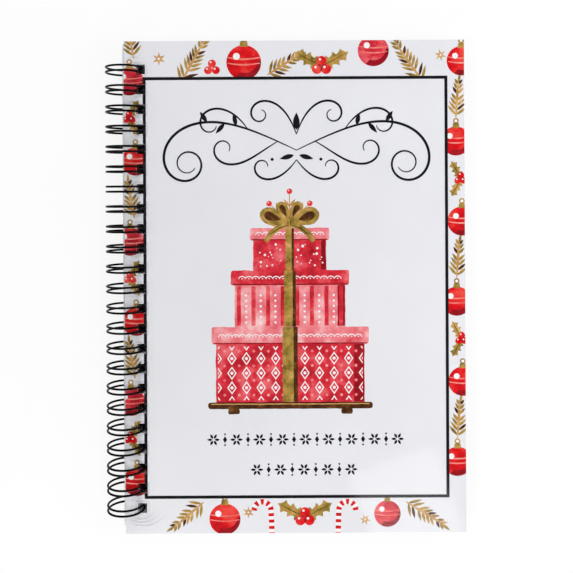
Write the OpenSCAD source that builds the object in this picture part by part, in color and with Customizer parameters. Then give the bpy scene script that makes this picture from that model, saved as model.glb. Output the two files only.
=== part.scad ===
// Wire-bound gift card holder: a laminated front and back cover and card leaves that each
// carry two clear card pockets, all turning on one twin-loop wire.
//
// The book lies closed on its back. X runs from the spine to the fore-edge, Y from the tail
// to the head, Z up through the front cover. The origin is the middle of the outline, on the
// surface that the wire rests on. Sheets are cut to one size and punched together. Closed,
// each one slides along the round loops until its holes lie on them, so the spine edges step.

/* [Sheets] */
// Width of every sheet, spine to fore-edge
sheet_w = 144.5; // [130:0.5:160]
// Height of every sheet, tail to head
sheet_h = 209; // [190:1:230]
// Thickness of a cover's printed board
board_t = 0.35; // [0.25:0.05:0.6]
// Thickness of a clear laminating film
film_t = 0.1; // [0.08:0.01:0.15]
// Thickness of the glue and ink between a board and its film
glue_t = 0.05; // [0.04:0.01:0.08]
// Thickness of a leaf's printed card
card_t = 0.35; // [0.25:0.05:0.5]
// Air between neighbouring sheets when the book is closed
sheet_gap = 0.3; // [0.26:0.01:0.34]

/* [Punching] */
// Distance between neighbouring holes, three to the inch
pitch = 8.4667; // [8.4:0.01:8.6]
// Hole size across the spine
hole_w = 3.9; // [3.4:0.1:4.2]
// Hole size along the spine
hole_l = 4.1; // [3.8:0.1:4.4]
// Spine edge to the middle of the holes
hole_inset = 7.1; // [7:0.05:7.2]
// Head edge to the middle of the first hole
head_margin = 11.9; // [10:0.1:14]
// Least distance from the last hole's middle to the tail edge
tail_margin = 7; // [6:0.5:8]

/* [Wire] */
// Diameter of the wire
wire_d = 0.9; // [0.7:0.05:1]
// Radius of a closed loop, to the middle of the wire
ring_r = 7.6; // [7.5:0.05:8]
// Distance between the two wires of one loop, middle to middle
loop_gap = 2.16; // [1.9:0.02:2.4]
// Radius of the bends at the foot of each loop, to the middle of the wire
foot_r = 1; // [0.8:0.05:1.2]
// Angle on the ring, from the fore-edge side, where the feet of the loops lie
foot_angle = -63; // [-65:1:-61]
// Angle on the ring between the feet and the tips of the loops
seam_angle = 20; // [19:1:21]
// Length of the cut stub past the first and the last foot
stub_l = 1.2; // [0.8:0.1:1.6]
// How much thinner in radius the wire gets in its tight bends
bend_thin = 0.03; // [0.02:0.01:0.04]
// How far the straight and round stretches run into a tight bend
bend_lap = 0.15; // [0.1:0.01:0.16]
// Height of the front cover's outer face above the ring's middle
cover_rise = 2.25; // [2:0.05:2.4]

/* [Card pockets] */
// Number of leaves between the covers
leaves = 4; // [2:1:4]
// Width of the gift card that a pocket takes
gift_w = 85.6; // [80:0.1:90]
// Height of the gift card that a pocket takes
gift_h = 54; // [50:0.1:58]
// Thickness of the gift card that a pocket takes
gift_t = 0.76; // [0.7:0.01:0.78]
// Room beside the card on each side of the pocket
gift_side_room = 1.2; // [0.8:0.1:2]
// Room above the card in the pocket's depth
gift_depth_room = 0.04; // [0.02:0.01:0.06]
// Thickness of a pocket's clear film
pocket_film_t = 0.1; // [0.08:0.01:0.12]
// Width of the welded seam around a pocket
seam_w = 2.5; // [2:0.1:4]
// How far the gift card stands out of the pocket's mouth
gift_show = 3; // [1:0.5:6]
// How far the back film runs on above the pocket's mouth
back_tab = 7; // [5:0.5:9]
// Radius of the thumb notch in the front film
notch_r = 9; // [6:0.5:12]
// Gap along the leaf between the two pockets, middle to middle
pocket_step = 92; // [78:1:96]
// Distance that the pockets sit towards the fore-edge from the leaf's middle
pocket_shift = 4; // [0:0.5:8]

/* [Hidden] */
$fn = 32;
wire_color = "#17171a";
board_color = "#f4f2ef";
film_color = "#dfe6ea";
leaf_color = "#f0ebe6";
pocket_color = "#cfe0ea";
seam_color = "#b9ccd8";

// Ring and stack, measured from the ring's middle
wire_r = wire_d / 2;
ring_z = ring_r + wire_r;
cover_t = board_t + 2 * (glue_t + film_t);
pocket_gap = gift_t + gift_depth_room;
pocket_t = 2 * pocket_film_t + pocket_gap;
leaf_t = card_t + pocket_t;
cover_low = cover_rise - cover_t;
back_low = cover_low - leaves * (leaf_t + sheet_gap) - sheet_gap - cover_t;
hole_count = floor((sheet_h - head_margin - tail_margin) / pitch) + 1;
tip_angle = foot_angle - seam_angle + 360;
lap_angle = bend_lap / ring_r * 180 / PI;

// Places along X that keep the origin in the middle of the outline
reach = max([for (k = [0 : leaves + 1]) spine_edge(sheet_mid(k)) + sheet_w]);
ring_x = (ring_r + wire_r - reach) / 2;

// Pocket sizes
pocket_in_w = gift_w + 2 * gift_side_room;
pocket_w = pocket_in_w + 2 * seam_w;
pocket_front_h = gift_h - gift_show + seam_w;
pocket_back_h = pocket_front_h + back_tab;

function leaf_node(k, piece) = str("leaf_", k, "_", piece);
function pocket_node(k, row, piece) =
    leaf_node(k, str(row == 0 ? "lower" : "upper", "_pocket_", piece));

// Underside of sheet k: 0 is the front cover, 1 to leaves are the leaves, the last the back
function sheet_low(k) =
    k == 0 ? cover_low :
    k > leaves ? back_low :
    cover_low - k * (leaf_t + sheet_gap);

// Middle of the punched board or card of sheet k
function sheet_mid(k) = sheet_low(k) + (k == 0 || k > leaves ? cover_t : card_t) / 2;

// Spine edge of a sheet whose punched middle lies at height d: its holes lie on the loops
function spine_edge(d) = sqrt(ring_r * ring_r - d * d) - hole_inset;

// Middle of hole i, counted from the head
function hole_y(i) = sheet_h / 2 - head_margin - i * pitch;

// One plate of sheet k, punched for the wire, with its underside at height low
module punched_plate(k, low, t) {
    edge = ring_x + spine_edge(sheet_mid(k));
    translate([0, 0, ring_z + low])
        linear_extrude(height = t)
            difference() {
                translate([edge, -sheet_h / 2])
                    square([sheet_w, sheet_h]);
                for (i = [0 : hole_count - 1])
                    translate([edge + hole_inset, hole_y(i)])
                        square([hole_w, hole_l], center = true);
            }
}

// Puts a loop drawn in its own plane, about its own Z, on the ring's axis at height y
module on_ring(y) {
    translate([ring_x, y, ring_z])
        rotate([90, 0, 0])
            children();
}

// Part of a tight bend in the tangent plane of the ring, at an angle on it
module tangent_bend(at, from, sweep, r, side) {
    rotate([0, 0, at])
        translate([ring_r, 0, side])
            rotate([0, 90, 0])
                rotate([0, 0, from])
                    rotate_extrude(angle = sweep)
                        translate([r, 0])
                            circle(r = wire_r - bend_thin);
}

// Two round wires of one loop, from the feet over the spine to the tip
module loop_wires() {
    for (side = [-loop_gap / 2, loop_gap / 2])
        translate([0, 0, side])
            rotate([0, 0, foot_angle - lap_angle])
                rotate_extrude(angle = tip_angle - foot_angle + 2 * lap_angle)
                    translate([ring_r, 0])
                        circle(r = wire_r);
}

// The bend that joins the two wires at the loop's tip
module loop_tip() {
    tangent_bend(tip_angle, 0, 180, loop_gap / 2, 0);
}

// The two bends at the loop's feet that turn the wire along the spine
module loop_feet() {
    for (flip = [0, 1])
        mirror([0, 0, flip])
            tangent_bend(foot_angle, -90, 90, foot_r, loop_gap / 2 + foot_r);
}

// A straight stretch of wire along the spine, which laps the bends at its ends
module foot_bar(from, length) {
    rotate([0, 0, foot_angle])
        translate([ring_r, -foot_r, from - bend_lap])
            cylinder(r = wire_r, h = length + 2 * bend_lap);
}

module wire_binding() {
    foot_edge = loop_gap / 2 + foot_r;
    color(wire_color) {
        for (i = [0 : hole_count - 1])
            on_ring(hole_y(i)) {
                loop_wires();
                loop_tip();
                loop_feet();
                if (i < hole_count - 1)
                    foot_bar(foot_edge, pitch - 2 * foot_edge);
            }
        on_ring(hole_y(0))
            foot_bar(-foot_edge - stub_l, stub_l);
        on_ring(hole_y(hole_count - 1))
            foot_bar(foot_edge, stub_l);
    }
}

// The three plates of a cover, from its underside up
module cover_board(k) {
    color(board_color)
        punched_plate(k, sheet_low(k) + film_t + glue_t, board_t);
}

module cover_film(k, upper) {
    low = upper ? film_t + board_t + 2 * glue_t : 0;
    color(film_color, 0.4)
        punched_plate(k, sheet_low(k) + low, film_t);
}

module leaf_card(k) {
    color(leaf_color)
        punched_plate(k, sheet_low(k), card_t);
}

// Puts a pocket's own drawing, centred along X and standing on Y = 0, on leaf k. Row 0 is
// the lower pocket and row 1 the upper.
module in_pocket(k, row) {
    x = ring_x + spine_edge(sheet_mid(k)) + sheet_w / 2 + pocket_shift;
    y = (row - 0.5) * pocket_step - pocket_back_h / 2;
    translate([x, y, ring_z + sheet_low(k) + card_t])
        children();
}

module pocket_back(k, row) {
    color(pocket_color, 0.4)
        in_pocket(k, row)
            translate([-pocket_w / 2, 0, 0])
                cube([pocket_w, pocket_back_h, pocket_film_t]);
}

module pocket_front(k, row) {
    color(pocket_color, 0.4)
        in_pocket(k, row)
            translate([0, 0, pocket_film_t + pocket_gap])
                linear_extrude(height = pocket_film_t)
                    difference() {
                        translate([-pocket_w / 2, 0])
                            square([pocket_w, pocket_front_h]);
                        translate([0, pocket_front_h])
                            circle(r = notch_r);
                    }
}

module pocket_seam(k, row) {
    color(seam_color, 0.6)
        in_pocket(k, row)
            translate([0, 0, pocket_film_t])
                linear_extrude(height = pocket_gap)
                    difference() {
                        translate([-pocket_w / 2, 0])
                            square([pocket_w, pocket_front_h]);
                        translate([-pocket_in_w / 2, seam_w])
                            square([pocket_in_w, pocket_front_h]);
                    }
}

wire_binding();
cover_board(leaves + 1);  // back_cover_board
cover_film(leaves + 1, false);  // back_cover_outer_film
cover_film(leaves + 1, true);  // back_cover_inner_film
cover_board(0);  // front_cover_board
cover_film(0, true);  // front_cover_outer_film
cover_film(0, false);  // front_cover_inner_film
for (k = [1 : leaves]) {
    leaf_card(k);
    for (row = [0, 1]) {
        pocket_back(k, row);
        pocket_front(k, row);
        pocket_seam(k, row);
    }
}
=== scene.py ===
import math
import random

import bpy
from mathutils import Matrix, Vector, noise


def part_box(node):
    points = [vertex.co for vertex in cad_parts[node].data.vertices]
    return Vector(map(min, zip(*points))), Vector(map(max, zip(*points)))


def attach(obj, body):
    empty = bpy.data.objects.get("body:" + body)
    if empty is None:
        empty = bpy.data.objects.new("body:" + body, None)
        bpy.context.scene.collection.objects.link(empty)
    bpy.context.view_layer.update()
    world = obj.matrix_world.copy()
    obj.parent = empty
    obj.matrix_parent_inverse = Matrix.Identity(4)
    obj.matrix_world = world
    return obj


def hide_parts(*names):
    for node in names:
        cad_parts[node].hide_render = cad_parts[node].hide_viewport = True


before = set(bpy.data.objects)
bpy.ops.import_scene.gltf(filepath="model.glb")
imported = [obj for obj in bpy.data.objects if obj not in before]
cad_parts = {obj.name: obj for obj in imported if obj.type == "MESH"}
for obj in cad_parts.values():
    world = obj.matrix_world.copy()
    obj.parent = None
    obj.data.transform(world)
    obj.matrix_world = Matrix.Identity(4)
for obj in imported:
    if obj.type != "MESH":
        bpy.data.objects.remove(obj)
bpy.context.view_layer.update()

# One millimetre in scene units. Prints and films are drawn in millimetres on a sheet: u runs
# from the spine edge to the fore-edge, v from the tail edge to the head edge.
MM = 0.001

# The sheets and their punched holes, as in the model
board_low, board_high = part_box("front_cover_board")
SHEET_W = (board_high.x - board_low.x) / MM
SHEET_H = (board_high.y - board_low.y) / MM
HOLE_W = 3.9
HOLE_L = 4.1
HOLE_INSET = 7.1
HEAD_MARGIN = 11.9
TAIL_MARGIN = 7.0
PITCH = 8.4667
FILM_T = 0.1
LEAVES = 4

# Ink lies in thin plates between a board and its film, each layer a step above the last.
# Points closer than SAME_POINT count as one, and outlines smaller than LEAST_AREA aren't printed.
INK_T = 0.004
INK_STEP = 0.0052
SAME_POINT = 0.002
LEAST_AREA = 0.004

# The panel's black line, by its middle, and the place of what is printed inside it
PANEL = (8.65, 15.4, 136.75, 193.1)
FRAME_LINE = 1.3
PICTURE_U = 70.1
PICTURE_LOW = 50.5
FLOURISH_AT = (73.2, 166.5)
FLOURISH_SCALE = 0.9
DIVIDERS = (((76.4, 39.7), 83, 17), ((75.7, 26.9), 45, 9))
INNER_DIVIDER = ((SHEET_W / 2 + 4, SHEET_H / 2), 60, 13)

# The border's side strips: a bauble and a sprig or twig in each row
SIDE_ROWS = 6
SIDE_START = 22.0
SIDE_STEP = 34.0

# Sizes of the patterns. A painted edge wanders over HAND_WAVE millimetres, along u from one seed
# and along v from another that is SEED_STEP higher.
CANE_WIDTH = 2.3
LATTICE_CELL = 6.2
DIAMOND = 0.707 * 0.98
STRIPE_STEP = 3.1
DOT_STEP = 2.3
SNOW_TRIES = 42
SNOW_SEED = 4
SCALLOP_STEP = 2.9
HAND_WAVE = 3.1
SEED_STEP = 70

# The cover film's mesh, fine near the spine and coarse beyond
FINE_REACH = 16.0
FINE_U = 0.36
FINE_V = 0.3
COARSE = 6.0
SHARP_ANGLE = 40

# Its ripples round the holes, from the nearest hole's rim outward
RIPPLE_REACH = 22.0
RIPPLE_RISE = 0.055
RIPPLE_FADE = 2.0
RIPPLE_WAVE = 1.7

# Its short creases between the holes, with their places as shares of the pitch
CREASE_U = 3.9
CREASE_HALF = 2.3
CREASE_SLANT = 0.26
CREASE_PLACES = (0.4, 0.62)
CREASE_WIDTH = 0.3
CREASE_RISE = 0.045

# Its wrinkles at the tail corner, which wind outward round a point near the last hole
WRINKLE_AT = (3.0, 12.0)
WRINKLE_RADII = (4.3, 5.3, 6.4)
WRINKLE_START = math.pi * 0.61
WRINKLE_GROWTH = 0.5
WRINKLE_SIDE = -1.1
WRINKLE_SPREAD = 0.56
WRINKLE_WIDTH = 0.24
WRINKLE_RISE = 0.1

# Camera: straight down, with its axis on a row of the photograph above the middle
PHOTO_SIDE = 573
AXIS_ROW = 187.9
PIXELS_PER_MM = 2.357
CAMERA_X = 0.65
CAMERA_Y = 41.95
CAMERA_RISE = 305.0
CAMERA_ROLL = -0.3
SENSOR = 36.0

# Floor and surround
FLOOR_HALF = 3.0
FLOOR_GAP = 0.00005
NEAR_FLOOR = 0.2
FAR_FLOOR = 0.6
NEAR_WHITE = 0.85
SURROUND_LIGHT = 0.27


# Camera, floor and lights


def make_camera():
    """Looks straight down at the cover, framed as in the photograph."""
    data = bpy.data.cameras.new("camera")
    data.sensor_width = SENSOR
    data.lens = SENSOR * CAMERA_RISE / (PHOTO_SIDE / PIXELS_PER_MM)
    data.shift_y = AXIS_ROW / PHOTO_SIDE - 0.5
    data.clip_start = 0.02
    camera = bpy.data.objects.new("camera", data)
    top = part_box("front_cover_outer_film")[1].z
    camera.location = (CAMERA_X * MM, CAMERA_Y * MM, top + CAMERA_RISE * MM)
    camera.rotation_euler = (0, 0, math.radians(CAMERA_ROLL))
    bpy.context.scene.collection.objects.link(camera)
    bpy.context.scene.camera = camera


def make_floor():
    """A pale floor that slopes from the wire's foot up to the back cover's fore-edge."""
    ring_low, ring_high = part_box("wire_binding")
    back_low, back_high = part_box("back_cover_outer_film")
    ring_x = (ring_low.x + ring_high.x) / 2
    slope = (back_low.z - ring_low.z) / (back_high.x - ring_x)
    half = FLOOR_HALF
    corners = [(-half, -half), (half, -half), (half, half), (-half, half)]
    verts = [(x, y, ring_low.z + (x - ring_x) * slope - FLOOR_GAP) for x, y in corners]
    floor = solid("floor", verts, [(0, 1, 2, 3)], [floor_material(back_low, back_high)])


def make_lamp(name, place, size, power, aim=(0, 0, 0), colour=(1, 1, 1)):
    """A soft square lamp that points at aim."""
    data = bpy.data.lights.new(name, "AREA")
    data.size = size
    data.energy = power
    data.color = colour
    lamp = bpy.data.objects.new(name, data)
    lamp.location = place
    lamp.visible_camera = False
    lamp.rotation_euler = (Vector(aim) - Vector(place)).to_track_quat("-Z", "Y").to_euler()
    bpy.context.scene.collection.objects.link(lamp)


def make_lamps():
    """Soft lamps on four sides, whose mirror images miss the cover, and a small high one."""
    warm = (1.0, 0.985, 0.95)
    make_lamp("side_lamp", (0.34, 0.01, 0.2), size=0.25, power=1.0, aim=(0.03, 0, 0))
    make_lamp("near_lamp", (-0.08, -0.33, 0.125), size=0.25, power=0.8, colour=warm)
    make_lamp("far_lamp", (-0.05, 0.36, 0.265), size=0.25, power=0.68)
    make_lamp("spine_lamp", (-0.3, 0, 0.48), size=0.12, power=0.64, aim=(-0.05, 0, 0))
    make_lamp("high_lamp", (0.135, -0.318, 0.52), size=0.1, power=0.075, aim=(0.05, -0.09, 0))


def make_world():
    """An even soft light, and what the camera and gloss see: white low down, dim overhead."""
    world = bpy.data.worlds.new("studio")
    bpy.context.scene.world = world
    world.use_nodes = True
    tree = world.node_tree
    tree.nodes.clear()
    out = tree.nodes.new("ShaderNodeOutputWorld")
    soft = tree.nodes.new("ShaderNodeBackground")
    soft.inputs["Color"].default_value = (0.97, 0.98, 1.0, 1)
    soft.inputs["Strength"].default_value = SURROUND_LIGHT
    seen = tree.nodes.new("ShaderNodeBackground")
    height = split(tree, coordinate(tree, "Generated"))["Z"]
    shade = ramp(tree, height, [(0.3, "#ffffff"), (0.75, "#5a5e63")])
    tree.links.new(shade, seen.inputs["Color"])
    mix = mixed(tree, seen_directly(tree), soft.outputs[0], seen.outputs[0])
    tree.links.new(mix, out.inputs["Surface"])


# Node helpers


def linear(code):
    """A hex colour as linear red, green, blue and alpha."""
    channels = [int(code[i : i + 2], 16) / 255 for i in (1, 3, 5)]
    return tuple(c / 12.92 if c < 0.04045 else ((c + 0.055) / 1.055) ** 2.4 for c in channels) + (1,)


def math_node(tree, operation, a, b):
    """A Math node's output; a and b are sockets or numbers."""
    made = tree.nodes.new("ShaderNodeMath")
    made.operation = operation
    for socket, value in zip(made.inputs, (a, b)):
        if isinstance(value, (int, float)):
            socket.default_value = value
        else:
            tree.links.new(value, socket)
    return made.outputs[0]


def within(tree, source, low, high):
    """One where a source lies between two values, zero elsewhere."""
    above = math_node(tree, "GREATER_THAN", source, low)
    return math_node(tree, "MULTIPLY", above, math_node(tree, "LESS_THAN", source, high))


def seen_directly(tree):
    """One for camera, glossy and transmission rays, zero for light."""
    path = tree.nodes.new("ShaderNodeLightPath")
    sharp = math_node(tree, "MAXIMUM", path.outputs["Is Camera Ray"], path.outputs["Is Glossy Ray"])
    return math_node(tree, "MAXIMUM", sharp, path.outputs["Is Transmission Ray"])


def mixed(tree, share, first, second):
    """Two shaders mixed by a share of the second."""
    mix = tree.nodes.new("ShaderNodeMixShader")
    tree.links.new(share, mix.inputs["Fac"])
    tree.links.new(first, mix.inputs[1])
    tree.links.new(second, mix.inputs[2])
    return mix.outputs[0]


def coordinate(tree, system):
    """A texture coordinate, such as Object or Generated."""
    return tree.nodes.new("ShaderNodeTexCoord").outputs[system]


def split(tree, vector):
    """A vector's X, Y and Z."""
    made = tree.nodes.new("ShaderNodeSeparateXYZ")
    tree.links.new(vector, made.inputs[0])
    return made.outputs


def distance(tree, vector):
    """How far a vector reaches from the origin."""
    made = tree.nodes.new("ShaderNodeVectorMath")
    made.operation = "LENGTH"
    tree.links.new(vector, made.inputs[0])
    return made.outputs["Value"]


def ramp(tree, source, stops):
    """A colour ramp on a source; stops are (place, hex colour)."""
    made = tree.nodes.new("ShaderNodeValToRGB")
    elements = made.color_ramp.elements
    while len(elements) < len(stops):
        elements.new(0.5)
    for element, (place, code) in zip(elements, stops):
        element.position = place
        element.color = linear(code)
    tree.links.new(source, made.inputs["Fac"])
    return made.outputs["Color"]


def span(tree, source, low, high, start=0.0, end=1.0):
    """A source that runs from start to end, stretched over low to high."""
    made = tree.nodes.new("ShaderNodeMapRange")
    made.inputs["From Min"].default_value = start
    made.inputs["From Max"].default_value = end
    made.inputs["To Min"].default_value = low
    made.inputs["To Max"].default_value = high
    tree.links.new(source, made.inputs["Value"])
    return made.outputs["Result"]


def grain(tree, feature, detail=2.0, roughness=0.5):
    """Noise in object space whose features are about so many millimetres wide."""
    made = tree.nodes.new("ShaderNodeTexNoise")
    made.inputs["Scale"].default_value = 1 / (feature * MM)
    made.inputs["Detail"].default_value = detail
    made.inputs["Roughness"].default_value = roughness
    tree.links.new(coordinate(tree, "Object"), made.inputs["Vector"])
    return made.outputs["Fac"]


def bump(tree, source, depth, strength=1.0):
    """A normal bumped by a source, to a depth in millimetres."""
    made = tree.nodes.new("ShaderNodeBump")
    made.inputs["Distance"].default_value = depth * MM
    made.inputs["Strength"].default_value = strength
    tree.links.new(source, made.inputs["Height"])
    return made.outputs["Normal"]


def new_material(name):
    """An empty node material and its tree."""
    material = bpy.data.materials.new(name)
    material.use_nodes = True
    tree = material.node_tree
    tree.nodes.clear()
    return material, tree


def finish_with(tree, shader):
    """Wires a shader to the tree's output."""
    out = tree.nodes.new("ShaderNodeOutputMaterial")
    tree.links.new(shader, out.inputs["Surface"])


def principled(tree, specular):
    """A Principled shader wired to the tree's output."""
    shader = tree.nodes.new("ShaderNodeBsdfPrincipled")
    shader.inputs["Specular IOR Level"].default_value = specular
    finish_with(tree, shader.outputs[0])
    return shader


# Materials


def floor_material(low, high):
    """Near white where it's seen directly, plain diffuse under the book and for all light."""
    material, tree = new_material("floor")
    pale = tree.nodes.new("ShaderNodeBsdfDiffuse")
    tone = ramp(tree, grain(tree, 40), [(0.3, "#f0f0f0"), (0.7, "#f4f4f4")])
    tree.links.new(tone, pale.inputs["Color"])
    white = tree.nodes.new("ShaderNodeEmission")
    place = coordinate(tree, "Object")
    sides = split(tree, place)
    along = within(tree, sides["X"], low.x, high.x)
    across = within(tree, sides["Y"], low.y, high.y)
    bare = math_node(tree, "SUBTRACT", 1.0, math_node(tree, "MULTIPLY", along, across))
    whiter = span(tree, distance(tree, place), NEAR_WHITE, 1.0, NEAR_FLOOR, FAR_FLOOR)
    share = math_node(tree, "MULTIPLY", seen_directly(tree), bare)
    share = math_node(tree, "MULTIPLY", share, whiter)
    finish_with(tree, mixed(tree, share, pale.outputs[0], white.outputs[0]))
    return material


def paper_material(name, light, dark, fibre=0.35):
    """Smooth white board or card with faint cloudiness and a fine fibre grain."""
    material, tree = new_material(name)
    shader = principled(tree, specular=0.12)
    cloud = ramp(tree, grain(tree, 24, 4), [(0.3, dark), (0.7, light)])
    tree.links.new(cloud, shader.inputs["Base Color"])
    tree.links.new(span(tree, grain(tree, 1.5, 3), 0.5, 0.66), shader.inputs["Roughness"])
    tree.links.new(bump(tree, grain(tree, fibre, 4), 0.01, 0.35), shader.inputs["Normal"])
    return material


def ink_material(name, stops, feature, roughness=(0.35, 0.5)):
    """Printed ink whose tone drifts like a wash, with a fine grain in it."""
    material, tree = new_material(name)
    shader = principled(tree, specular=0.06)
    wash = grain(tree, feature, 5, 0.62)
    tree.links.new(ramp(tree, wash, stops), shader.inputs["Base Color"])
    speckle = grain(tree, 0.5, 2)
    tree.links.new(span(tree, speckle, *roughness), shader.inputs["Roughness"])
    tree.links.new(bump(tree, speckle, 0.004, 0.3), shader.inputs["Normal"])
    return material


def clear_film_material(name, tint, roughness, haze=0.0, feature=60.0):
    """Clear film: what lies under it shows, and its outer face mirrors; on a crease the see-through
    colour is greyed, a painted shade.
    """
    material, tree = new_material(name)
    through = tree.nodes.new("ShaderNodeBsdfTransparent")
    # Painted shade: where the film lifts on creases and wrinkles, the colour seen through it is greyed.
    lift = tree.nodes.new("ShaderNodeAttribute")
    lift.attribute_name = "lift"
    crease_shade = ramp(tree, lift.outputs["Fac"], [(0.06, tint), (0.33, "#fafafb"), (0.9, "#f3f4f5")])
    tree.links.new(crease_shade, through.inputs["Color"])
    gloss = tree.nodes.new("ShaderNodeBsdfGlossy")
    tree.links.new(span(tree, grain(tree, 9, 3), *roughness), gloss.inputs["Roughness"])
    tree.links.new(bump(tree, grain(tree, feature, 2), 0.35, 0.5), gloss.inputs["Normal"])
    edge = tree.nodes.new("ShaderNodeFresnel")
    edge.inputs["IOR"].default_value = 1.5
    side = tree.nodes.new("ShaderNodeNewGeometry")
    front = math_node(tree, "SUBTRACT", 1.0, side.outputs["Backfacing"])
    share = math_node(tree, "MULTIPLY", edge.outputs["Fac"], front)
    shader = mixed(tree, share, through.outputs[0], gloss.outputs[0])
    if haze:
        milk = tree.nodes.new("ShaderNodeBsdfDiffuse")
        milk.inputs["Color"].default_value = linear("#eef4f7")
        speck = span(tree, grain(tree, 0.6, 3), haze * 0.75, haze * 1.25)
        shader = mixed(tree, math_node(tree, "MULTIPLY", speck, front), shader, milk.outputs[0])
    finish_with(tree, shader)
    return material


def wire_material():
    """Black nylon-coated steel wire, satin with a slightly uneven coat."""
    material, tree = new_material("coated_wire")
    shader = principled(tree, specular=0.05)
    tone = ramp(tree, grain(tree, 2.0, 3), [(0.35, "#020203"), (0.7, "#070708")])
    tree.links.new(tone, shader.inputs["Base Color"])
    tree.links.new(span(tree, grain(tree, 0.8, 3), 0.2, 0.32), shader.inputs["Roughness"])
    tree.links.new(bump(tree, grain(tree, 0.5, 3), 0.006, 0.4), shader.inputs["Normal"])
    return material


def make_inks():
    """Every ink of the print by its name, from its wash and how many millimetres wide it drifts."""
    washes = {
        "black": ([(0.3, "#0b0b0d"), (0.7, "#17171a")], 6, (0.4, 0.55)),
        "scarlet": ([(0.28, "#a80410"), (0.5, "#df1019"), (0.74, "#f25a4c")], 9),
        "crimson": ([(0.3, "#a50d1c"), (0.5, "#dc303e"), (0.7, "#f07a7e")], 8),
        "rose": ([(0.3, "#dc4b57"), (0.5, "#f0898d"), (0.7, "#fbd2cf")], 9),
        "wine": ([(0.3, "#7c0712"), (0.55, "#9c0f1b"), (0.75, "#bb1d29")], 6),
        "coral": ([(0.3, "#e2493f"), (0.55, "#f08f80"), (0.75, "#f8c3b6")], 6),
        "gold": ([(0.28, "#5b4212"), (0.45, "#9b8136"), (0.6, "#c39a4e"), (0.75, "#e0c388")], 4),
        "tan": ([(0.3, "#b5803a"), (0.55, "#cf9f5f"), (0.75, "#e6c795")], 5),
        "umber": ([(0.3, "#2e1608"), (0.55, "#5a3212"), (0.75, "#8d672d")], 3),
        "white": ([(0.3, "#f3ece9"), (0.7, "#fbf8f6")], 6),
    }
    return {name: ink_material("ink_" + name, *wash) for name, wash in washes.items()}


# Outlines on a sheet, in millimetres


def clip(outline, axis, limit, above):
    """The part of an outline on one side of a line of constant u (axis 0) or v (axis 1)."""
    kept = []
    sign = 1 if above else -1
    for a, b in zip(outline, outline[1:] + outline[:1]):
        from_a = sign * (a[axis] - limit)
        from_b = sign * (b[axis] - limit)
        if from_a >= 0:
            kept.append(a)
        if from_a * from_b < 0:
            t = from_a / (from_a - from_b)
            kept.append((a[0] + t * (b[0] - a[0]), a[1] + t * (b[1] - a[1])))
    return kept


def clip_box(outline, box):
    """The part of an outline inside a box of lowest u and v and highest u and v."""
    low_u, low_v, high_u, high_v = box
    sides = ((0, low_u, True), (1, low_v, True), (0, high_u, False), (1, high_v, False))
    for axis, limit, above in sides:
        outline = clip(outline, axis, limit, above)
    return outline


def without(outline, box):
    """The pieces of an outline left outside a box."""
    low_u, low_v, high_u, high_v = box
    us = [p[0] for p in outline]
    vs = [p[1] for p in outline]
    if max(us) <= low_u or min(us) >= high_u or max(vs) <= low_v or min(vs) >= high_v:
        return [outline]
    middle = clip(clip(outline, 0, low_u, True), 0, high_u, False)
    return [
        clip(outline, 0, low_u, False),
        clip(outline, 0, high_u, True),
        clip(middle, 1, low_v, False),
        clip(middle, 1, high_v, True),
    ]


def area(outline):
    """Signed area of an outline, positive anticlockwise."""
    pairs = zip(outline, outline[1:] + outline[:1])
    return sum(a[0] * b[1] - b[0] * a[1] for a, b in pairs) / 2


def tidy(outline):
    """An outline without doubled points, running anticlockwise, or None if it's empty."""
    kept = []
    for point in outline:
        if not kept or math.dist(point, kept[-1]) > SAME_POINT:
            kept.append(point)
    while len(kept) > 1 and math.dist(kept[0], kept[-1]) <= SAME_POINT:
        kept.pop()
    if len(kept) < 3 or abs(area(kept)) < LEAST_AREA:
        return None
    return kept if area(kept) > 0 else kept[::-1]


def polar(radius, angle):
    """A point at a distance from the origin, in a direction in degrees."""
    return radius * math.cos(math.radians(angle)), radius * math.sin(math.radians(angle))


def turned(points, at, angle):
    """Points turned by an angle in degrees and moved so that their origin lies at a place."""
    c, s = polar(1, angle)
    return [(at[0] + u * c - v * s, at[1] + u * s + v * c) for u, v in points]


def on_line(at, angle, distances):
    """Points on a straight line from a place, at some distances."""
    return turned([(away, 0) for away in distances], at, angle)


def disc(at, radius, count):
    """A round outline."""
    steps = [2 * math.pi * i / count for i in range(count)]
    return [(at[0] + radius * math.cos(a), at[1] + radius * math.sin(a)) for a in steps]


def leaf(at, angle, length, width, count=8):
    """A pointed leaf from its stem end."""
    points = []
    for i in range(count + 1):
        t = i / count
        points.append((t * length, width / 2 * math.sin(math.pi * t) ** 0.9 * (1.25 - 0.5 * t)))
    points += [(u, -v) for u, v in points[-2:0:-1]]
    return turned(points, at, angle)


def holly(at, angle, length, width):
    """A leaf with pairs of points along its sides."""
    side = [(0, 0)]
    for tip in (0.24, 0.5, 0.76):
        half = width / 2 * (1.15 - 0.45 * abs(tip - 0.4))
        side.append(((tip - 0.16) * length, half * 0.5))
        side.append(((tip - 0.05) * length, half * 0.62))
        side.append((tip * length + 0.04 * length, half))
    side.append((0.88 * length, width * 0.18))
    side.append((length, 0))
    return turned(side + [(u, -v) for u, v in side[-2:0:-1]], at, angle)


def teardrop(at, angle, length, width, count=18):
    """A loop that swells away from its point."""
    points = []
    for i in range(count):
        a = 2 * math.pi * i / count
        half = width / 2 * math.sin(a) * math.sin(a / 2)
        points.append((length * (1 - math.cos(a)) / 2, half))
    return turned(points, at, angle)


def star(at, radius, points, depth, turn=0.0):
    """A star with straight points."""
    outline = []
    for i in range(2 * points):
        r = radius if i % 2 == 0 else radius * depth
        a = math.pi * i / points + math.radians(90 + turn)
        outline.append((at[0] + r * math.cos(a), at[1] + r * math.sin(a)))
    return outline


def slab(low_u, low_v, high_u, high_v):
    """A plain rectangle."""
    return [(low_u, low_v), (high_u, low_v), (high_u, high_v), (low_u, high_v)]


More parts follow.
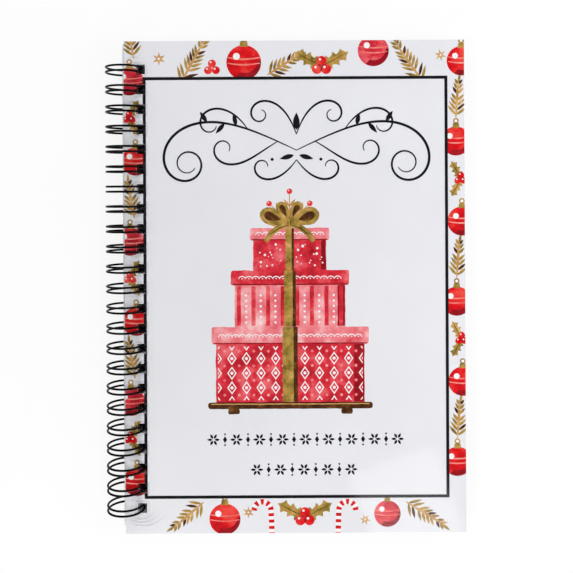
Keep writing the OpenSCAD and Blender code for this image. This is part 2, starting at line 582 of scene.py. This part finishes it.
def rounded(low_u, low_v, high_u, high_v, radius, count=4):
    """A rectangle with round corners."""
    points = []
    corners = [
        (high_u - radius, high_v - radius, 0),
        (low_u + radius, high_v - radius, 90),
        (low_u + radius, low_v + radius, 180),
        (high_u - radius, low_v + radius, 270),
    ]
    for u, v, start in corners:
        for i in range(count + 1):
            out_u, out_v = polar(radius, start + 90 * i / count)
            points.append((u + out_u, v + out_v))
    return points


def wander(u, v, seed):
    """A smooth drift between -1 and 1, the same at each run."""
    return noise.noise(Vector((u / HAND_WAVE, v / HAND_WAVE, seed)))


def by_hand(outline, amount, spacing=1.6, seed=0.0):
    """An outline with the small wander of a painted edge."""
    points = []
    for a, b in zip(outline, outline[1:] + outline[:1]):
        parts = max(1, round(math.dist(a, b) / spacing))
        for i in range(parts):
            u = a[0] + (b[0] - a[0]) * i / parts
            v = a[1] + (b[1] - a[1]) * i / parts
            drift_u = wander(u, v, seed)
            drift_v = wander(u, v, seed + SEED_STEP)
            points.append((u + amount * drift_u, v + amount * drift_v))
    return points


def scroll(start, heading, length, turn, end_turn, step=0.7):
    """Points along a curve whose turn in degrees per millimetre goes from turn to end_turn."""
    count = max(4, round(length / step))
    points = [start]
    u, v = start
    for i in range(count):
        heading += (turn + (end_turn - turn) * ((i + 0.5) / count) ** 2) * length / count
        on_u, on_v = polar(length / count, heading)
        u += on_u
        v += on_v
        points.append((u, v))
    return points


def stroke(points, widest, thinnest):
    """A pen stroke along points, thin at its ends, as a row of four-sided outlines."""
    last = len(points) - 1
    sides = []
    for i, (u, v) in enumerate(points):
        a = points[max(i - 1, 0)]
        b = points[min(i + 1, last)]
        reach = math.dist(a, b)
        half = (thinnest + (widest - thinnest) * math.sin(math.pi * i / last)) / 2
        across = (-(b[1] - a[1]) / reach * half, (b[0] - a[0]) / reach * half)
        sides.append(((u + across[0], v + across[1]), (u - across[0], v - across[1])))
    return [[a, b, d, c] for (a, b), (c, d) in zip(sides, sides[1:])]


# Motifs: each gives a list of plates, a plate being (ink, layer, outline)


def drawn(ink, layer, points, widest, thinnest):
    """A pen stroke as plates of one ink."""
    return [(ink, layer, quad) for quad in stroke(points, widest, thinnest)]


def fir_twig(at, angle, length, needle):
    """A twig with needles on both sides, the longest near its foot."""
    plates = drawn("tan", 2, scroll(at, angle, length, 0.5, -1.2, 2.0), 1.1, 0.5)
    spine = scroll(at, angle, length, 0.5, -1.2, 1.0)
    rows = int(length / 2.1)
    for row in range(rows):
        t = (row + 0.7) / rows
        here = spine[min(int(t * (len(spine) - 1)), len(spine) - 2)]
        reach = needle * (1.05 - 0.55 * t)
        for side in (1, -1):
            lean = angle + side * (48 - 14 * t)
            ink = "umber" if (row + side) % 5 == 0 else "gold"
            plates.append((ink, 1, leaf(here, lean, reach, 1.25, 5)))
    plates.append(("gold", 1, leaf(spine[-1], angle - 6, needle * 0.7, 1.2, 5)))
    return plates


def bauble(at, radius, ink="scarlet"):
    """A glass ball with a gold cap and loop, a dark side, two pale bands and a glint."""

    def placed(points):
        return turned([(radius * u, radius * v) for u, v in points], at, 90)

    cap = placed([(0.9, -0.24), (1.22, -0.2), (1.22, 0.2), (0.9, 0.24)])
    outer = [polar(1, a) for a in range(150, 281, 10)]
    inner = [polar(1, a) for a in range(270, 159, -10)]
    crescent = placed(outer + [(0.72 * u + 0.1, 0.78 * v - 0.02) for u, v in inner])
    plates = [
        (ink, 2, disc(at, radius, 28)),
        ("wine", 3, crescent),
        ("gold", 3, cap),
        ("gold", 3, placed(disc((1.38, 0), 0.2, 12))),
        ("white", 4, placed(disc((1.38, 0), 0.1, 10))),
        ("white", 5, placed(disc((0.35, 0.42), 0.2, 14))),
    ]
    for side in (-1, 1):
        bulge = [0.1 * math.sin(math.pi * t / 6) for t in range(7)]
        arc = [(0.12 + side * 0.16 - out, 0.93 * (t / 3 - 1)) for t, out in enumerate(bulge)]
        plates += drawn("coral", 4, placed(arc), radius * 0.1, radius * 0.05)
    return plates


def berries(at, radius, spread):
    """A cluster of three round berries, each with a small glint."""
    plates = []
    for turn in (90, 210, 330):
        place = on_line(at, turn, [spread])[0]
        plates.append(("scarlet", 5, disc(place, radius, 16)))
        glint = (place[0] - 0.3 * radius, place[1] + 0.35 * radius)
        plates.append(("white", 6, disc(glint, radius * 0.24, 8)))
    return plates


def holly_sprig(at, angle, length):
    """Two holly leaves with their veins and three berries."""
    plates = []
    for lean in (angle - 62, angle + 62):
        plates.append(("gold", 3, holly(at, lean, length, length * 0.46)))
        vein = on_line(at, lean, [length * t for t in (0.08, 0.35, 0.62, 0.9)])
        plates += drawn("umber", 4, vein, 0.35, 0.15)
    return plates + berries(at, length * 0.17, length * 0.17)


def candy_cane(at, angle, length, side=1):
    """A striped cane whose hook bends to one side."""
    hook = length * 0.24
    points = [(length * 0.72 * i / 8, 0) for i in range(9)]
    for i in range(1, 10):
        a = math.pi * i / 9
        points.append((length * 0.72 + hook * math.sin(a), side * (hook - hook * math.cos(a))))
    plates = []
    for i, quad in enumerate(stroke(turned(points, at, angle), CANE_WIDTH, CANE_WIDTH)):
        plates.append(("scarlet" if i % 2 == 0 else "white", 2, quad))
    return plates


def small_star(at, radius, turn=0.0):
    """A gold star with a pale middle."""
    pale = disc(at, radius * 0.16, 8)
    return [("tan", 3, star(at, radius, 6, 0.38, turn)), ("white", 4, pale)]


def frame_line():
    """The black line round the printed panel, as four strips."""
    low_u, low_v, high_u, high_v = PANEL
    half = FRAME_LINE / 2
    strips = [
        slab(low_u - half, low_v - half, high_u + half, low_v + half),
        slab(low_u - half, high_v - half, high_u + half, high_v + half),
        slab(low_u - half, low_v + half, low_u + half, high_v - half),
        slab(high_u - half, low_v + half, high_u + half, high_v - half),
    ]
    return [("black", 7, strip) for strip in strips]


def border_motifs():
    """The motifs between the panel and the sheet's edges, side by side."""
    low_u, low_v, high_u, high_v = PANEL
    whole = (0, 0, SHEET_W, SHEET_H)
    top = (0, high_v, SHEET_W, SHEET_H)
    bottom = (0, 0, SHEET_W, low_v)
    left = (0, 0, low_u, SHEET_H)
    right = (high_u, 0, SHEET_W, SHEET_H)
    placed = [
        (top, small_star((15, 201.5), 3.0)),
        (top, fir_twig((24, 191), 58, 20, 7.0)),
        (top, berries((37.5, 197.5), 1.7, 1.9)),
        (top, bauble((51, 199.8), 7.4)),
        (top, fir_twig((61, 194.5), 30, 15, 6.2)),
        (top, holly_sprig((84, 198), 90, 13)),
        (top, bauble((106, 204.5), 6.6, "crimson")),
        (top, fir_twig((127, 191), 122, 20, 6.8)),
        (top, small_star((134.5, 202.5), 2.6, 12)),
        (bottom, fir_twig((33, 13.2), 218, 16, 6.0)),
        (bottom, bauble((42, 6.0), 6.6)),
        (bottom, small_star((52, 8.8), 2.6)),
        (bottom, candy_cane((62, -1), 92, 15)),
        (bottom, holly_sprig((76, 6.5), 90, 13)),
        (bottom, candy_cane((90, -1), 88, 15, -1)),
        (bottom, small_star((101.5, 5.5), 2.4, 20)),
        (bottom, bauble((111, 8.0), 5.6, "crimson")),
        (bottom, fir_twig((119, 13), -34, 18, 6.2)),
    ]
    for row in range(SIDE_ROWS):
        v = SIDE_START + SIDE_STEP * row
        odd = row % 2 == 1
        ink = "crimson" if odd else "scarlet"
        shift = -1.2 if odd else 1.2
        placed.append((left, bauble((3.6 + shift, v), 6.0, ink)))
        placed.append((right, bauble((SHEET_W - 2.4 - shift, v + 8), 6.2)))
        if odd:
            placed.append((left, fir_twig((4.2, v + 10), 98, 15, 5.8)))
            placed.append((right, holly_sprig((SHEET_W - 1.6, v + 26), 180, 8.5)))
        else:
            placed.append((left, holly_sprig((2.2, v + 18.5), 0, 8.5)))
            placed.append((right, fir_twig((SHEET_W - 3.6, v + 18), 84, 15, 5.6)))
    plates = []
    for side, motif in placed:
        for ink, layer, outline in motif:
            plates.append((ink, layer, clip_box(clip_box(outline, side), whole)))
    return plates


# The picture: three parcels in a pile


def parcel(base, half_width, height, lid_height, ink, lid_ink, seed):
    """A wrapped parcel with its lid, a shaded side and an upright ribbon."""
    middle = PICTURE_U
    top = base + height
    head = top + lid_height - 0.1
    lid_half = half_width + 0.9 + 0.03 * half_width
    body = rounded(middle - half_width, base - 0.6, middle + half_width, top, 0.9)
    lid = rounded(middle - lid_half, top - 0.8, middle + lid_half, top + lid_height, 0.9)
    band = half_width * 0.085 + 0.5
    shade_u = middle + half_width * 0.86
    shade = rounded(shade_u, base + 0.3, middle + half_width - 0.2, top - 0.9, 0.4)
    ribbon = slab(middle - band, base + 0.1, middle + band, head)
    edge = slab(middle + band * 0.45, base + 0.1, middle + band, head)
    lip = slab(middle - lid_half + 0.8, top - 0.8, middle + lid_half - 0.8, top - 0.25)
    return [
        (ink, 0, by_hand(body, 0.3, seed=seed)),
        ("wine", 1, by_hand(shade, 0.25, seed=seed)),
        (lid_ink, 2, by_hand(lid, 0.25, seed=seed + 1)),
        ("wine", 3, by_hand(lip, 0.1, seed=seed)),
        ("gold", 5, by_hand(ribbon, 0.12, seed=seed)),
        ("umber", 6, by_hand(edge, 0.1, 2.4, seed=seed)),
    ]


def lattice(base, half_width, height):
    """White diamonds with crimson middles and a white dot, rose dots between, none on the ribbon."""
    middle = PICTURE_U
    cell = LATTICE_CELL
    plates = []
    box = (middle - half_width + 0.8, base + 0.9, middle + half_width - 0.8, base + height - 1.8)
    rows = int(height / cell) + 2
    columns = int(half_width / cell) + 2
    for row in range(rows):
        for column in range(-columns, columns + 1):
            at = (middle + column * cell, base + row * cell)
            if abs(at[0] - middle) < cell * 0.6:
                continue
            between = (at[0] + cell / 2, at[1] + cell / 2)
            shapes = [
                ("white", 2, star(at, cell * 0.46, 2, DIAMOND)),
                ("crimson", 3, star(at, cell * 0.33, 2, DIAMOND)),
                ("white", 4, disc(at, cell * 0.11, 10)),
                ("rose", 2, disc(between, cell * 0.1, 10)),
            ]
            plates += [(ink, layer, clip_box(shape, box)) for ink, layer, shape in shapes]
    return plates


def striping(base, half_width, height):
    """Upright crimson stripes with a row of white dots down each gap between them."""
    middle = PICTURE_U
    step = STRIPE_STEP
    plates = []
    count = int(half_width / step)
    for i in range(-count, count + 1):
        u = middle + i * step
        if abs(u - middle) < step * 0.8 or abs(u - middle) > half_width - 1.4:
            continue
        if i % 2:
            bar = slab(u - step * 0.28, base + 0.5, u + step * 0.28, base + height - 1.2)
            plates.append(("crimson", 2, by_hand(bar, 0.2, seed=7)))
        else:
            rows = int((height - 3) / DOT_STEP)
            for row in range(rows):
                plates.append(("white", 3, disc((u, base + 1.9 + row * DOT_STEP), 0.5, 10)))
    return plates


def snowfall(base, half_width, height):
    """White dots of many sizes strewn over a field, none on another or on the ribbon."""
    middle = PICTURE_U
    source = random.Random(SNOW_SEED)
    plates = []
    taken = []
    for _ in range(SNOW_TRIES):
        u = middle + source.uniform(-1, 1) * (half_width - 1.5)
        v = base + source.uniform(1.2, height - 2.2)
        radius = source.uniform(0.22, 0.62)
        free = all(math.dist((u, v), other) > radius + width for other, width in taken)
        if free and abs(u - middle) > half_width * 0.14 + radius:
            taken.append(((u, v), radius + 0.1))
            plates.append(("white", 2, disc((u, v), radius, 9)))
    return plates


def scallops(v, half_width):
    """A row of small white arches with a dot under each."""
    step = SCALLOP_STEP
    plates = []
    count = int(2 * half_width / step)
    for i in range(count):
        u = PICTURE_U - count * step / 2 + (i + 0.5) * step
        arc = []
        for t in range(7):
            a = math.pi * t / 6
            arc.append((u - step / 2 * math.cos(a), v + step * 0.42 * math.sin(a)))
        plates += drawn("white", 4, arc, 0.42, 0.3)
        plates.append(("white", 4, disc((u, v + 0.25), 0.27, 8)))
    return plates


def bow_loop(at, angle, length, width, layer):
    """One loop of the bow, with its dark inside and a pale fold."""
    outer = by_hand(teardrop(at, angle, length, width), 0.25, seed=angle)
    start = on_line(at, angle, [length * 0.3])[0]
    inner = by_hand(teardrop(start, angle, length * 0.56, width * 0.5), 0.2, seed=angle)
    shares = (0.2, 0.4, 0.6, 0.8)
    fold = [(length * t, width * 0.36 * math.sin(math.pi * t)) for t in shares]
    plates = [("gold", layer, outer), ("umber", layer + 1, inner)]
    return plates + drawn("tan", layer + 1, turned(fold, at, angle), 0.7, 0.3)


def bow_tail(at, side):
    """One hanging end of the bow's ribbon, with a crease."""
    points = ((0.8, -0.4), (4.4, -1.8), (7.8, -4.2), (10.2, -7.8))
    tail = [(at[0] + side * u, at[1] + v) for u, v in points]
    crease = [(u + side * 0.3, v - 0.5) for u, v in tail[:3]]
    return drawn("gold", 5, tail, 2.6, 1.9) + drawn("umber", 6, crease, 0.5, 0.3)


def berry_spray(at, angle, reach):
    """A stem behind the bow with two small leaves and a berry at its tip."""
    stem = on_line(at, angle, (3, 7, reach))
    plates = drawn("tan", 0, stem, 0.45, 0.35)
    tip = stem[-1]
    for lean in (-38, 38):
        plates.append(("tan", 0, leaf(stem[1], angle + lean, 4.2, 1.1, 6)))
    plates.append(("scarlet", 1, disc(tip, 1.2, 16)))
    plates.append(("white", 2, disc((tip[0] - 0.35, tip[1] + 0.4), 0.3, 8)))
    return plates


def gift_bow(base):
    """A gold bow with four loops, its knot and two tails, and three berry stems behind it."""
    at = (PICTURE_U, base + 2.0)
    plates = []
    for angle in (64, 116):
        plates += bow_loop(at, angle, 10, 6.4, 1)
    for angle in (20, 160):
        plates += bow_loop(at, angle, 13.2, 9.6, 3)
    for side in (1, -1):
        plates += bow_tail(at, side)
    for angle, reach in ((44, 12), (90, 13.5), (136, 12)):
        plates += berry_spray(at, angle, reach)
    knot = rounded(at[0] - 1.9, at[1] - 2.1, at[0] + 1.9, at[1] + 1.9, 1.3)
    plates.append(("gold", 6, by_hand(knot, 0.15)))
    for u in (-0.7, 0.5):
        crease = [(at[0] + u, at[1] + v) for v in (-1.4, 0, 1.3)]
        plates += drawn("umber", 7, crease, 0.4, 0.2)
    return plates


def tray():
    """The small dark tray that the parcels stand on."""
    middle = PICTURE_U
    base = PICTURE_LOW
    board = rounded(middle - 35, base + 2.2, middle + 35, base + 5, 1.2)
    edge = slab(middle - 33.5, base + 4.0, middle + 33.5, base + 4.5)
    plates = [("umber", 0, by_hand(board, 0.2)), ("tan", 1, by_hand(edge, 0.15))]
    for side in (1, -1):
        foot_u = middle + side * 24
        foot = rounded(foot_u - 2.4, base, foot_u + 2.4, base + 2.4, 0.8)
        plates.append(("umber", 0, by_hand(foot, 0.2)))
    return plates


def picture_art():
    """Three wrapped parcels on a small tray, in the panel's middle."""
    plates = tray()
    level = PICTURE_LOW + 5
    parcels = [
        (31.5, 25.5, 6.5, "crimson", "rose", lattice),
        (23.5, 18.5, 5.5, "rose", "crimson", striping),
        (15.5, 13.5, 4.5, "crimson", "rose", snowfall),
    ]
    for i, (half_width, height, lid_height, ink, lid_ink, pattern) in enumerate(parcels):
        plates += parcel(level, half_width, height, lid_height, ink, lid_ink, i * 5.0)
        plates += pattern(level, half_width, height)
        plates += scallops(level + height + lid_height * 0.32, half_width - 1)
        level += height + lid_height
    return plates + gift_bow(level)


# The flourish and the dividers


def flourish_half():
    """Half of the pen flourish: its strokes as (points, widest), and its leaves and dot."""
    stem = scroll((0, -4.5), 26, 132, -0.1, -14)
    curls = [
        (stem, 1.15),
        (scroll(stem[14], -30, 50, -0.6, 21), 0.95),
        (scroll(stem[36], 58, 41, -2.0, -19), 0.95),
        (scroll((0, 3), 72, 47, -1.2, -24), 0.95),
        (scroll((0, -9), -55, 36, 1.5, 24), 0.95),
    ]
    leaves = []
    for at, turn, size in ((44, 62, 6), (52, -58, 6.5), (64, 60, 6)):
        a, b = stem[at], stem[at + 1]
        heading = math.degrees(math.atan2(b[1] - a[1], b[0] - a[0]))
        leaves.append(leaf(a, heading + turn, size, 2.1))
    leaves.append(leaf((1.2, -6.8), -15, 7, 2.3))
    leaves.append(disc((11.5, -8.8), 0.75, 12))
    return curls, leaves


def flourish():
    """A mirrored pen flourish with curls and leaves."""
    middle, level = FLOURISH_AT
    scale = FLOURISH_SCALE
    curls, leaves = flourish_half()

    def placed(points, side):
        return [(middle + side * scale * u, level + scale * v) for u, v in points]

    plates = []
    for side in (1, -1):
        for points, widest in curls:
            plates += drawn("black", 3, placed(points, side), widest, 0.4)
        plates += [("black", 4, placed(outline, side)) for outline in leaves]
    plates.append(("black", 4, leaf((middle, level + 4.5), 90, 7.5, 2.8)))
    return plates


def divider(at, width, count):
    """A printed divider of florets and small diamonds in turn."""
    plates = []
    step = width / count
    for i in range(count):
        place = (at[0] + (i - (count - 1) / 2) * step, at[1])
        if i % 2 == 0:
            for turn in range(0, 360, 60):
                petal = on_line(place, turn, [0.45])[0]
                plates.append(("black", 3, leaf(petal, turn, 2.3, 1.05, 6)))
        else:
            plates.append(("black", 3, star(place, 1.5, 2, 0.6)))
            for side in (1, -1):
                dot = (place[0], place[1] + side * 2.3)
                plates.append(("black", 3, disc(dot, 0.42, 10)))
    return plates


def cover_art():
    """What is printed on the front cover."""
    plates = border_motifs() + frame_line() + picture_art() + flourish()
    for at, width, count in DIVIDERS:
        plates += divider(at, width, count)
    return plates


def inner_art():
    """What is printed on each leaf and on the back cover."""
    return border_motifs() + frame_line() + divider(*INNER_DIVIDER)


# Meshes


def solid(name, verts, faces, materials, face_materials=None):
    """A mesh object from plain lists."""
    mesh = bpy.data.meshes.new(name)
    mesh.from_pydata(verts, [], faces)
    for material in materials:
        mesh.materials.append(material)
    if face_materials:
        mesh.polygons.foreach_set("material_index", face_materials)
    mesh.update()
    made = bpy.data.objects.new(name, mesh)
    bpy.context.scene.collection.objects.link(made)
    return made


def hole_boxes():
    """The punched holes as boxes on the sheet, from the head down."""
    count = int((SHEET_H - HEAD_MARGIN - TAIL_MARGIN) / PITCH) + 1
    low_u = HOLE_INSET - HOLE_W / 2
    high_u = HOLE_INSET + HOLE_W / 2
    middles = [SHEET_H - HEAD_MARGIN - i * PITCH for i in range(count)]
    return [(low_u, v - HOLE_L / 2, high_u, v + HOLE_L / 2) for v in middles]


HOLES = hole_boxes()


def round_holes(outline):
    """The pieces of an outline that are left round the punched holes."""
    pieces = [outline]
    if outline and min(p[0] for p in outline) < HOLES[0][2]:
        for hole in HOLES:
            pieces = [part for piece in pieces if piece for part in without(piece, hole)]
    return pieces


def prism_faces(first, count):
    """The faces of a closed prism between two rings of points, one after the other from first."""
    faces = [[first + i for i in reversed(range(count))], [first + count + i for i in range(count)]]
    for i in range(count):
        j = (i + 1) % count
        faces.append([first + i, first + j, first + count + j, first + count + i])
    return faces


def lay_print(name, sheet, plates, inks, body, under=False):
    """Lays plates of ink on a sheet's upper or under face, leaving the punched holes open."""
    low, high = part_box(sheet)
    order = sorted({ink for ink, _, _ in plates})
    verts = []
    faces = []
    face_inks = []
    for ink, layer, outline in plates:
        for piece in round_holes(outline):
            piece = tidy(piece)
            if piece is None:
                continue
            near = INK_T + layer * INK_STEP
            heights = (near, near + INK_T)
            levels = [high.z + h * MM for h in heights]
            if under:
                piece = piece[::-1]
                levels = [low.z - h * MM for h in heights]
            faces += prism_faces(len(verts), len(piece))
            for z in levels:
                verts += [(low.x + u * MM, low.y + v * MM, z) for u, v in piece]
            face_inks += [order.index(ink)] * (len(piece) + 2)
    made = solid(name, verts, faces, [inks[ink] for ink in order], face_inks)
    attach(made, body)


# The front cover's rippled film


def grid_lines(stops, fine, coarse, fine_end):
    """Grid places that hit every stop, fine up to fine_end and coarse beyond it."""
    lines = [stops[0]]
    for a, b in zip(stops, stops[1:]):
        step = fine if b <= fine_end else coarse
        parts = max(1, math.ceil((b - a) / step))
        lines += [a + (b - a) * (i + 1) / parts for i in range(parts)]
    return lines


def hole_row(v):
    """How many holes down from the head a place lies, as a broken number."""
    return (SHEET_H - HEAD_MARGIN - v) / PITCH


def hole_distance(u, v):
    """How far a point lies from the nearest hole's rim, and which hole it is."""
    row = min(max(round(hole_row(v)), 0), len(HOLES) - 1)
    low_u, low_v, high_u, high_v = HOLES[row]
    du = max(low_u - u, 0, u - high_u)
    dv = max(low_v - v, 0, v - high_v)
    return math.hypot(du, dv), row


def swell(value, width, power=2):
    """A smooth hump: one where a value is zero, falling to nothing over a width."""
    return math.exp(-((value / width) ** power))


def hole_ripples(u, v):
    """Rings of ripples round each hole, which fade outward."""
    away, row = hole_distance(u, v)
    pucker = noise.noise(Vector((u / 4, v / 4, row))) * 0.5 + 1
    wave = 0.5 - 0.5 * math.cos(2 * math.pi * away / RIPPLE_WAVE)
    return RIPPLE_RISE * pucker * math.exp(-away / RIPPLE_FADE) * wave


def gap_creases(u, v):
    """Two short creases across each bridge between holes, slanted more towards the tail."""
    row = hole_row(v)
    slant = CREASE_SLANT * row / len(HOLES)
    place = (row - slant * (u - CREASE_U) / PITCH) % 1
    pucker = noise.noise(Vector((round(row), u / 5, 0.5))) + 0.8
    across = sum(swell((place - at) * PITCH, CREASE_WIDTH) for at in CREASE_PLACES)
    return CREASE_RISE * pucker * swell(u - CREASE_U, CREASE_HALF, 4) * across


def corner_wrinkles(u, v):
    """Wrinkles that wind outward below the last hole, at the tail corner of the spine."""
    away = math.hypot(u - WRINKLE_AT[0], v - WRINKLE_AT[1])
    slant = math.atan2(v - WRINKLE_AT[1], u - WRINKLE_AT[0])
    wound = away * math.exp(-WRINKLE_GROWTH * (slant + WRINKLE_START))
    across = sum(swell(wound - radius, WRINKLE_WIDTH) for radius in WRINKLE_RADII)
    return WRINKLE_RISE * swell(slant - WRINKLE_SIDE, WRINKLE_SPREAD) * across


def film_ripple(u, v):
    """Height of the film above the glue, flat along the sheet's edges."""
    if u > RIPPLE_REACH:
        return 0.0
    height = hole_ripples(u, v) + gap_creases(u, v) + corner_wrinkles(u, v)
    return height * max(min(u, v, SHEET_H - v, 1.0), 0.0)


def rippled_film(name, node, body, material):
    """A film over a board, closed all round, that puckers round the punched holes."""
    low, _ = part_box(node)
    hole_us = [HOLES[0][0], HOLES[0][2]]
    hole_vs = sorted(v for box in HOLES for v in (box[1], box[3]))
    stops = [0] + hole_us + [FINE_REACH, RIPPLE_REACH, SHEET_W]
    us = grid_lines(stops, FINE_U, COARSE, FINE_REACH)
    vs = grid_lines([0] + hole_vs + [SHEET_H], FINE_V, FINE_V, SHEET_H)
    index = {}
    verts = []
    lifts = []

    def corner(i, j, upper):
        key = (i, j, upper)
        if key not in index:
            index[key] = len(verts)
            ripple = film_ripple(us[i], vs[j])
            # Each point's lift as a share of the wrinkles' rise; the film's material turns it into
            # painted shade on creases.
            lifts.append(ripple / WRINKLE_RISE)
            height = ripple + (FILM_T if upper else 0)
            verts.append((low.x + us[i] * MM, low.y + vs[j] * MM, low.z + height * MM))
        return index[key]

    def open_cell(i, j):
        if not (0 <= i < len(us) - 1 and 0 <= j < len(vs) - 1):
            return True
        u = (us[i] + us[i + 1]) / 2
        v = (vs[j] + vs[j + 1]) / 2
        return hole_distance(u, v)[0] == 0

    skins = []
    walls = []
    for i in range(len(us) - 1):
        for j in range(len(vs) - 1):
            if open_cell(i, j):
                continue
            ring = [(i, j), (i + 1, j), (i + 1, j + 1), (i, j + 1)]
            skins.append([corner(*p, True) for p in ring])
            skins.append([corner(*p, False) for p in reversed(ring)])
            beyond = [(i, j - 1), (i + 1, j), (i, j + 1), (i - 1, j)]
            for a, b, cell in zip(ring, ring[1:] + ring[:1], beyond):
                if open_cell(*cell):
                    foot = [corner(*a, False), corner(*b, False)]
                    walls.append(foot + [corner(*b, True), corner(*a, True)])
    made = solid(name, verts, skins + walls, [material])
    smooth = [True] * len(skins) + [False] * len(walls)
    made.data.polygons.foreach_set("use_smooth", smooth)
    made.data.set_sharp_from_angle(angle=math.radians(SHARP_ANGLE))
    # The lift goes to the film's material, which paints shade with it on the creases and wrinkles.
    lift = made.data.attributes.new("lift", "FLOAT", "POINT")
    lift.data.foreach_set("value", lifts)
    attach(made, body)
    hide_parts(node)


# Finishes of the nodes that stay, and the whole scene


def dress_nodes():
    """Gives each CAD node that stays its finish, and hands back the covers' film."""
    film = clear_film_material("cover_film", "#fefeff", (0.05, 0.1))
    pocket = clear_film_material("pocket_film", "#fefeff", (0.04, 0.12), haze=0.03, feature=35)
    finishes = {
        "_board": paper_material("cover_board", "#e9e9ea", "#e5e5e6"),
        "_card": paper_material("leaf_card", "#eae8e8", "#e5e3e3", fibre=0.45),
        "_film": film,
        "_pocket_back": pocket,
        "_pocket_front": pocket,
        "_pocket_seam": clear_film_material("pocket_weld", "#fafcfd", (0.2, 0.4), haze=0.25, feature=2),
        "wire_binding": wire_material(),
    }
    for name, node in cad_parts.items():
        for ending, finish in finishes.items():
            if name.endswith(ending):
                node.data.materials.clear()
                node.data.materials.append(finish)
    return film


def lay_prints(inks):
    """Prints the front cover, the leaves and the back cover's outer side."""
    lay_print("front_cover_print", "front_cover_board", cover_art(), inks, "front_cover")
    for k in range(1, LEAVES + 1):
        leaf_k = f"leaf_{k}"
        lay_print(f"{leaf_k}_print", f"{leaf_k}_card", inner_art(), inks, leaf_k)
    lay_print("back_cover_print", "back_cover_board", inner_art(), inks, "binding", True)


def main():
    bpy.context.scene.view_settings.view_transform = "Standard"
    make_camera()
    make_floor()
    make_world()
    make_lamps()
    film = dress_nodes()
    lay_prints(make_inks())
    rippled_film("front_cover_rippled_film", "front_cover_outer_film", "front_cover", film)


main()
